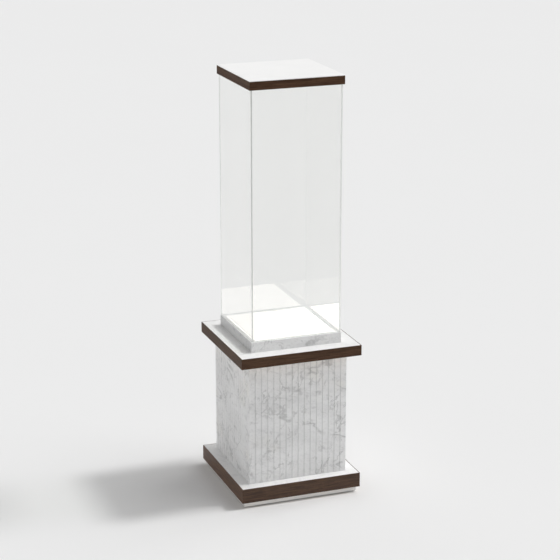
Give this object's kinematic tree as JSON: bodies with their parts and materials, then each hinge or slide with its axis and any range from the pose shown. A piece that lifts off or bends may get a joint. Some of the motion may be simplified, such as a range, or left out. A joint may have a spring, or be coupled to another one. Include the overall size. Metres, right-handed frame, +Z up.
{
  "type": "display plinth",
  "caption": "Square fluted stone plinth with walnut-edged base, ledge and lid, carrying a lit stand under a tall lift-off glass case.",
  "frame": {"origin": "on the floor under the feet, on the upright axis of the plinth", "axes": "+Z up, -Y towards the front, +X to the right seen from the front; the power inlet is on the +Y face"},
  "size_m": [0.5, 0.5, 1.693],
  "materials": {
    "white_marble": "honed white marble with faint veins",
    "grey_marble": "honed grey-white marble with soft grey veins",
    "walnut": "dark walnut lipping, satin lacquer, grain along each side",
    "plywood": "bare birch plywood core board",
    "pale_paint": "off-white satin paint on wood",
    "steel": "zinc-plated steel",
    "brass": "plain brass",
    "aluminium": "satin folded aluminium",
    "white_board": "white solder mask on circuit board",
    "opal": "opal acrylic, lit from below",
    "black_plastic": "fine matt black plastic",
    "pale_plastic": "pale grey plastic",
    "cable_grey": "grey flexible sheath",
    "clear_glass": "clear float glass with polished edges",
    "clear_seal": "clear silicone strip",
    "white_sheet": "white satin laminate sheet"
  },
  "bodies": {
    "plinth": {"foot_nut_front_left": "brass", "foot_nut_front_right": "brass", "foot_nut_back_right": "brass", "foot_nut_back_left": "brass", "base_core": "plywood", "base_slab": "white_marble", "base_band_front": "walnut", "base_band_right": "walnut", "base_band_back": "walnut", "base_band_left": "walnut", "skirt_front": "pale_paint", "skirt_right": "pale_paint", "skirt_back": "pale_paint", "skirt_left": "pale_paint", "column_panel_front": "grey_marble", "column_panel_right": "grey_marble", "column_panel_back": "grey_marble", "column_panel_left": "grey_marble", "column_core_front": "plywood", "column_core_right": "plywood", "column_core_back": "plywood", "column_core_left": "plywood", "ledge_core": "plywood", "ledge_slab": "white_marble", "ledge_band_front": "walnut", "ledge_band_right": "walnut", "ledge_band_back": "walnut", "ledge_band_left": "walnut", "riser_side_front": "grey_marble", "riser_side_right": "grey_marble", "riser_side_back": "grey_marble", "riser_side_left": "grey_marble", "led_tray": "aluminium", "led_board": "white_board", "led_driver": "pale_plastic", "mains_cable": "cable_grey", "led_cable": "cable_grey", "inlet_housing": "black_plastic", "inlet_pin_live": "brass", "inlet_pin_earth": "brass", "inlet_pin_neutral": "brass"},
    "hood": {"glass_front": "clear_glass", "glass_right": "clear_glass", "glass_back": "clear_glass", "glass_left": "clear_glass", "hood_seal": "clear_seal"},
    "lid": {"lid_core": "pale_paint", "lid_band_front": "walnut", "lid_band_right": "walnut", "lid_band_back": "walnut", "lid_band_left": "walnut", "lid_sheet": "white_sheet"},
    "diffuser_panel": {"diffuser": "opal"},
    "rocker": {"rocker_switch": "black_plastic"},
    "levelling_foot_front_left": {"foot_front_left": "steel"},
    "levelling_foot_front_right": {"foot_front_right": "steel"},
    "levelling_foot_back_right": {"foot_back_right": "steel"},
    "levelling_foot_back_left": {"foot_back_left": "steel"}
  },
  "joints": [
    {"name": "hood_lift", "type": "slide", "parent": "plinth", "child": "hood", "axis": [0, 0, 1], "range_m": [0, 1]},
    {"name": "lid_lift", "type": "slide", "parent": "hood", "child": "lid", "axis": [0, 0, 1], "range_m": [0, 0.15]},
    {"name": "diffuser_lift", "type": "slide", "parent": "plinth", "child": "diffuser_panel", "axis": [0, 0, 1], "range_m": [0, 0.06]},
    {"name": "rocker_press", "type": "hinge", "parent": "plinth", "child": "rocker", "pos_m": [0, 0.205, 0.172], "axis": [1, 0, 0], "range_deg": [-14, 0]},
    {"name": "foot_screw_front_left", "type": "slide", "parent": "plinth", "child": "levelling_foot_front_left", "axis": [0, 0, -1], "range_m": [-0.004, 0.012]},
    {"name": "foot_screw_front_right", "type": "slide", "parent": "plinth", "child": "levelling_foot_front_right", "axis": [0, 0, -1], "range_m": [-0.004, 0.012]},
    {"name": "foot_screw_back_right", "type": "slide", "parent": "plinth", "child": "levelling_foot_back_right", "axis": [0, 0, -1], "range_m": [-0.004, 0.012]},
    {"name": "foot_screw_back_left", "type": "slide", "parent": "plinth", "child": "levelling_foot_back_left", "axis": [0, 0, -1], "range_m": [-0.004, 0.012]}
  ]
}
